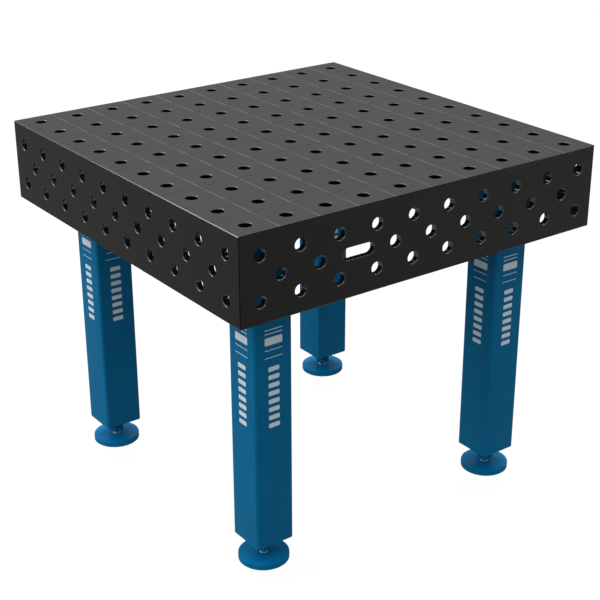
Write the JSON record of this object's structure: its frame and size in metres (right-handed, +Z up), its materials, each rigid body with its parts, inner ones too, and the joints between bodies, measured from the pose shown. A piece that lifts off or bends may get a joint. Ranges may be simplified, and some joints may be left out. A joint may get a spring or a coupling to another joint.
{
  "type": "welding table",
  "caption": "Perforated steel welding table: a box top with a grid of 28 mm clamping bores on square tube legs with screw levelling feet.",
  "frame": {"origin": "on the floor, under the middle of the top", "axes": "+Z up, +X along the front from left to right, +Y from the front plate (the one with the hand slot) to the back"},
  "size_m": [1, 1, 0.878],
  "materials": {
    "nitrided_steel": "dark nitrided plate, satin, with fine machining and handling marks",
    "blue_paint": "semi-gloss powder coat in mid blue",
    "zinc_steel": "bright zinc plating",
    "black_steel": "black oxide"
  },
  "bodies": {
    "table": {"top_plate": "nitrided_steel", "front_plate": "nitrided_steel", "back_plate": "nitrided_steel", "left_plate": "nitrided_steel", "right_plate": "nitrided_steel", "long_rib_front": "nitrided_steel", "long_rib_middle": "nitrided_steel", "long_rib_back": "nitrided_steel", "cross_rib_left": "nitrided_steel", "cross_rib_middle": "nitrided_steel", "cross_rib_right": "nitrided_steel", "front_left_mount_plate": "nitrided_steel", "front_left_flange": "blue_paint", "front_left_leg": "blue_paint", "front_left_bolts": "black_steel", "front_left_bolt_washers": "zinc_steel", "front_left_end_plate": "blue_paint", "front_left_weld_nut": "blue_paint", "front_right_mount_plate": "nitrided_steel", "front_right_flange": "blue_paint", "front_right_leg": "blue_paint", "front_right_bolts": "black_steel", "front_right_bolt_washers": "zinc_steel", "front_right_end_plate": "blue_paint", "front_right_weld_nut": "blue_paint", "back_left_mount_plate": "nitrided_steel", "back_left_flange": "blue_paint", "back_left_leg": "blue_paint", "back_left_bolts": "black_steel", "back_left_bolt_washers": "zinc_steel", "back_left_end_plate": "blue_paint", "back_left_weld_nut": "blue_paint", "back_right_mount_plate": "nitrided_steel", "back_right_flange": "blue_paint", "back_right_leg": "blue_paint", "back_right_bolts": "black_steel", "back_right_bolt_washers": "zinc_steel", "back_right_end_plate": "blue_paint", "back_right_weld_nut": "blue_paint"},
    "front_left_foot": {"front_left_foot": "blue_paint"},
    "front_left_spindle": {"front_left_spindle": "zinc_steel"},
    "front_left_lock_washer": {"front_left_lock_washer": "zinc_steel"},
    "front_left_lock_nut": {"front_left_lock_nut": "blue_paint"},
    "front_right_foot": {"front_right_foot": "blue_paint"},
    "front_right_spindle": {"front_right_spindle": "zinc_steel"},
    "front_right_lock_washer": {"front_right_lock_washer": "zinc_steel"},
    "front_right_lock_nut": {"front_right_lock_nut": "blue_paint"},
    "back_left_foot": {"back_left_foot": "blue_paint"},
    "back_left_spindle": {"back_left_spindle": "zinc_steel"},
    "back_left_lock_washer": {"back_left_lock_washer": "zinc_steel"},
    "back_left_lock_nut": {"back_left_lock_nut": "blue_paint"},
    "back_right_foot": {"back_right_foot": "blue_paint"},
    "back_right_spindle": {"back_right_spindle": "zinc_steel"},
    "back_right_lock_washer": {"back_right_lock_washer": "zinc_steel"},
    "back_right_lock_nut": {"back_right_lock_nut": "blue_paint"}
  },
  "joints": [
    {"name": "front_left_foot_slide", "type": "slide", "parent": "table", "child": "front_left_foot", "axis": [0, 0, 1], "range_m": [-0.04, 0.004]},
    {"name": "front_left_spindle_turn", "type": "hinge", "parent": "front_left_foot", "child": "front_left_spindle", "pos_m": [-0.35, -0.35, 0.03], "axis": [0, 0, 1], "range_deg": [-4800, 480]},
    {"name": "front_left_washer_slide", "type": "slide", "parent": "table", "child": "front_left_lock_washer", "axis": [0, 0, 1], "range_m": [-0.004, 0]},
    {"name": "front_left_nut_turn", "type": "hinge", "parent": "front_left_lock_washer", "child": "front_left_lock_nut", "pos_m": [-0.35, -0.35, 0.03], "axis": [0, 0, 1], "range_deg": [-480, 0]},
    {"name": "front_right_foot_slide", "type": "slide", "parent": "table", "child": "front_right_foot", "axis": [0, 0, 1], "range_m": [-0.04, 0.004]},
    {"name": "front_right_spindle_turn", "type": "hinge", "parent": "front_right_foot", "child": "front_right_spindle", "pos_m": [0.35, -0.35, 0.03], "axis": [0, 0, 1], "range_deg": [-4800, 480]},
    {"name": "front_right_washer_slide", "type": "slide", "parent": "table", "child": "front_right_lock_washer", "axis": [0, 0, 1], "range_m": [-0.004, 0]},
    {"name": "front_right_nut_turn", "type": "hinge", "parent": "front_right_lock_washer", "child": "front_right_lock_nut", "pos_m": [0.35, -0.35, 0.03], "axis": [0, 0, 1], "range_deg": [-480, 0]},
    {"name": "back_left_foot_slide", "type": "slide", "parent": "table", "child": "back_left_foot", "axis": [0, 0, 1], "range_m": [-0.04, 0.004]},
    {"name": "back_left_spindle_turn", "type": "hinge", "parent": "back_left_foot", "child": "back_left_spindle", "pos_m": [-0.35, 0.35, 0.03], "axis": [0, 0, 1], "range_deg": [-4800, 480]},
    {"name": "back_left_washer_slide", "type": "slide", "parent": "table", "child": "back_left_lock_washer", "axis": [0, 0, 1], "range_m": [-0.004, 0]},
    {"name": "back_left_nut_turn", "type": "hinge", "parent": "back_left_lock_washer", "child": "back_left_lock_nut", "pos_m": [-0.35, 0.35, 0.03], "axis": [0, 0, 1], "range_deg": [-480, 0]},
    {"name": "back_right_foot_slide", "type": "slide", "parent": "table", "child": "back_right_foot", "axis": [0, 0, 1], "range_m": [-0.04, 0.004]},
    {"name": "back_right_spindle_turn", "type": "hinge", "parent": "back_right_foot", "child": "back_right_spindle", "pos_m": [0.35, 0.35, 0.03], "axis": [0, 0, 1], "range_deg": [-4800, 480]},
    {"name": "back_right_washer_slide", "type": "slide", "parent": "table", "child": "back_right_lock_washer", "axis": [0, 0, 1], "range_m": [-0.004, 0]},
    {"name": "back_right_nut_turn", "type": "hinge", "parent": "back_right_lock_washer", "child": "back_right_lock_nut", "pos_m": [0.35, 0.35, 0.03], "axis": [0, 0, 1], "range_deg": [-480, 0]}
  ],
  "couplings": [
    {"joint": "front_left_spindle_turn", "follows": "front_left_foot_slide", "rad_per_m": 2094.4},
    {"joint": "front_left_nut_turn", "follows": "front_left_washer_slide", "rad_per_m": 2094.4},
    {"joint": "front_right_spindle_turn", "follows": "front_right_foot_slide", "rad_per_m": 2094.4},
    {"joint": "front_right_nut_turn", "follows": "front_right_washer_slide", "rad_per_m": 2094.4},
    {"joint": "back_left_spindle_turn", "follows": "back_left_foot_slide", "rad_per_m": 2094.4},
    {"joint": "back_left_nut_turn", "follows": "back_left_washer_slide", "rad_per_m": 2094.4},
    {"joint": "back_right_spindle_turn", "follows": "back_right_foot_slide", "rad_per_m": 2094.4},
    {"joint": "back_right_nut_turn", "follows": "back_right_washer_slide", "rad_per_m": 2094.4}
  ]
}
